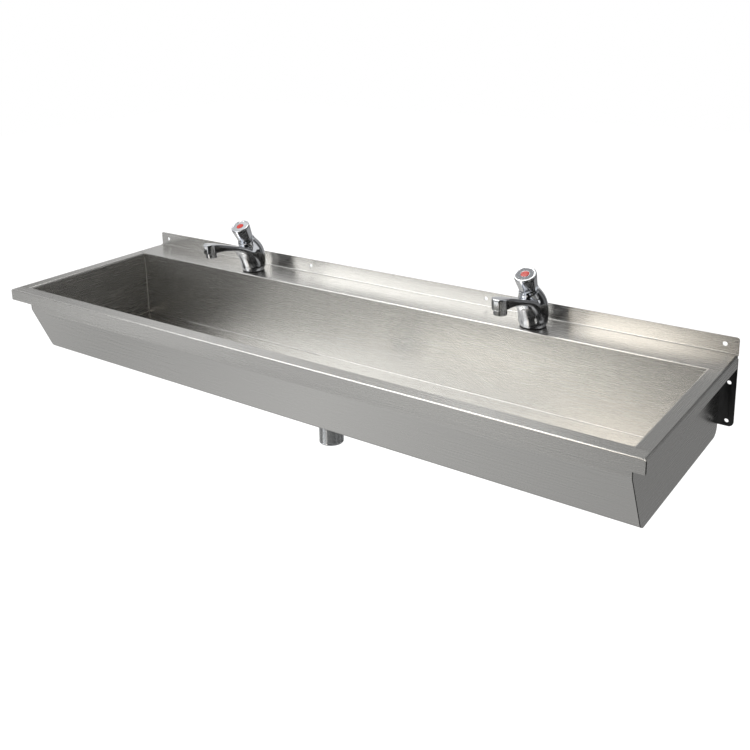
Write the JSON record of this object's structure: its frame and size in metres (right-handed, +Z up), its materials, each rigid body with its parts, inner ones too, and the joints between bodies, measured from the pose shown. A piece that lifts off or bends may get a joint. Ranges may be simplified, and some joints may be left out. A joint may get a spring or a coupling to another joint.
{
  "type": "wall-hung wash trough",
  "caption": "Wall-hung wash trough in folded sheet steel, with a low upstand, self-closing push taps on its rear deck, a grated waste and wall brackets.",
  "frame": {"origin": "on the wall plane, at mid length, level with the top of the rim", "axes": "+X along the trough to the right as seen from the front, +Y into the wall, +Z up"},
  "size_m": [1.2, 0.375, 0.3196],
  "materials": {
    "trough_steel": "brushed along its length",
    "fixing_steel": "bright",
    "bracket_paint": "satin black powder coat",
    "tap_chrome": "polished",
    "waste_chrome": "polished",
    "raw_brass": "machined",
    "black_rubber": "matt",
    "brown_fibre": "matt",
    "pale_plastic": "moulded",
    "red_plastic": "gloss"
  },
  "bodies": {
    "trough": {"trough_body": "trough_steel", "end_panel_left": "trough_steel", "end_panel_right": "trough_steel", "bracket_left": "bracket_paint", "bracket_right": "bracket_paint", "bracket_studs": "fixing_steel", "bracket_washers": "fixing_steel", "bracket_nuts": "fixing_steel", "waste_body": "waste_chrome", "waste_grate": "waste_chrome", "waste_screw": "fixing_steel", "waste_seal": "black_rubber", "waste_washer": "black_rubber", "waste_nut": "raw_brass", "tap_body_left": "tap_chrome", "tap_gasket_left": "black_rubber", "tap_outlet_ring_left": "tap_chrome", "tap_flow_insert_left": "pale_plastic", "tap_spring_left": "fixing_steel", "tap_cartridge_left": "raw_brass", "tap_inlet_tail_left": "raw_brass", "tap_washer_left": "brown_fibre", "tap_nut_left": "raw_brass", "tap_body_right": "tap_chrome", "tap_gasket_right": "black_rubber", "tap_outlet_ring_right": "tap_chrome", "tap_flow_insert_right": "pale_plastic", "tap_spring_right": "fixing_steel", "tap_cartridge_right": "raw_brass", "tap_inlet_tail_right": "raw_brass", "tap_washer_right": "brown_fibre", "tap_nut_right": "raw_brass"},
    "button_left": {"tap_button_left": "tap_chrome", "tap_indicator_left": "red_plastic", "tap_spindle_left": "fixing_steel"},
    "button_right": {"tap_button_right": "tap_chrome", "tap_indicator_right": "red_plastic", "tap_spindle_right": "fixing_steel"}
  },
  "joints": [
    {"name": "button_press_left", "type": "slide", "parent": "trough", "child": "button_left", "axis": [0, 0.4384, -0.8988], "range_m": [0, 0.006], "stiffness_N_per_m": 1500, "springref_m": -0.004, "deforming": ["tap_spring_left"]},
    {"name": "button_press_right", "type": "slide", "parent": "trough", "child": "button_right", "axis": [0, 0.4384, -0.8988], "range_m": [0, 0.006], "stiffness_N_per_m": 1500, "springref_m": -0.004, "deforming": ["tap_spring_right"]}
  ]
}
